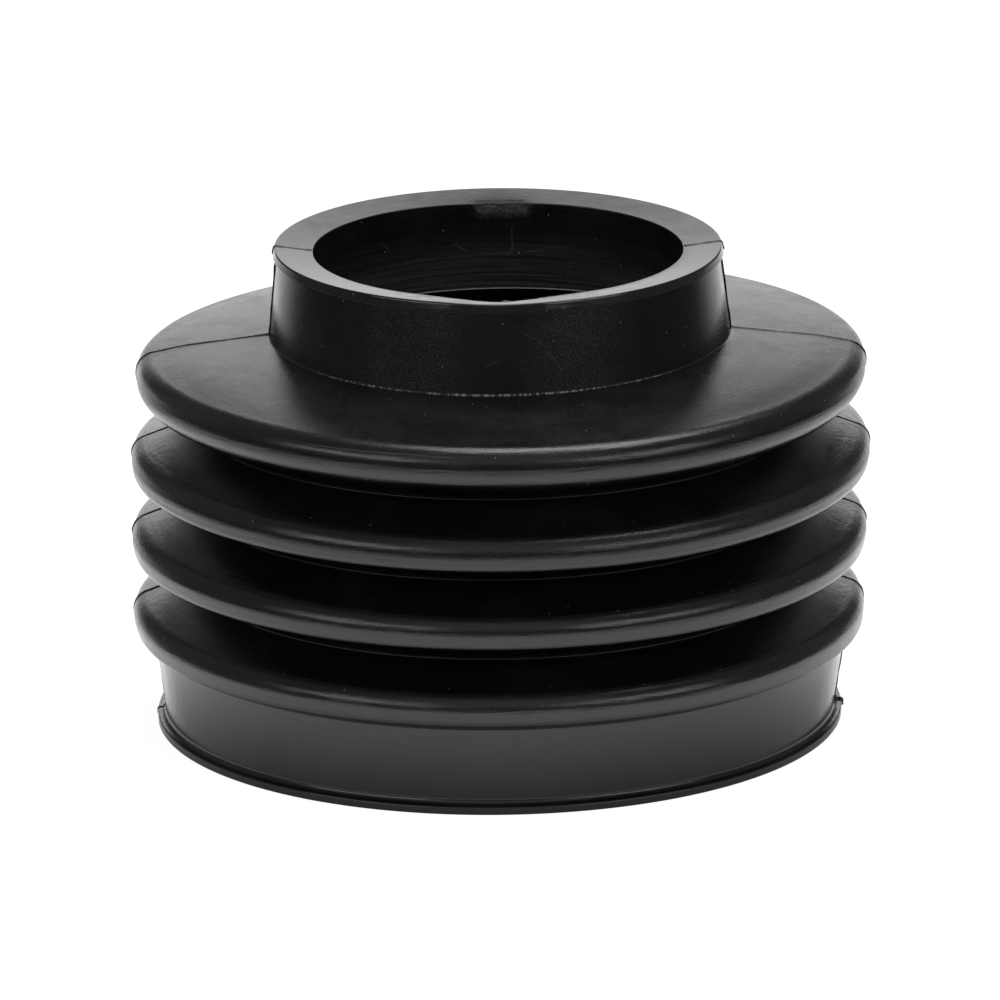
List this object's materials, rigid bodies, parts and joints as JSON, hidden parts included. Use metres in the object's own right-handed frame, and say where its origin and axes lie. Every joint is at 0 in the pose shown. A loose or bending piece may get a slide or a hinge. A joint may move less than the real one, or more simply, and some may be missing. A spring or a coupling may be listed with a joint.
{
  "type": "rubber bellows boot",
  "caption": "Moulded rubber dust boot: a thick tubular neck, a nearly flat shoulder and rounded bellows folds above a wide clamp collar, to seal a sliding or swinging joint.",
  "frame": {"origin": "centre of the flat foot of the collar, at the bottom of the part", "axes": "+Z along the boot's axis, out of the neck; +X in the plane of the mould's parting line"},
  "size_m": [0.1006, 0.1002, 0.0661],
  "materials": {
    "rubber": "moulded satin black rubber"
  },
  "bodies": {
    "root": {"bellows_boot": "rubber"}
  },
  "joints": []
}
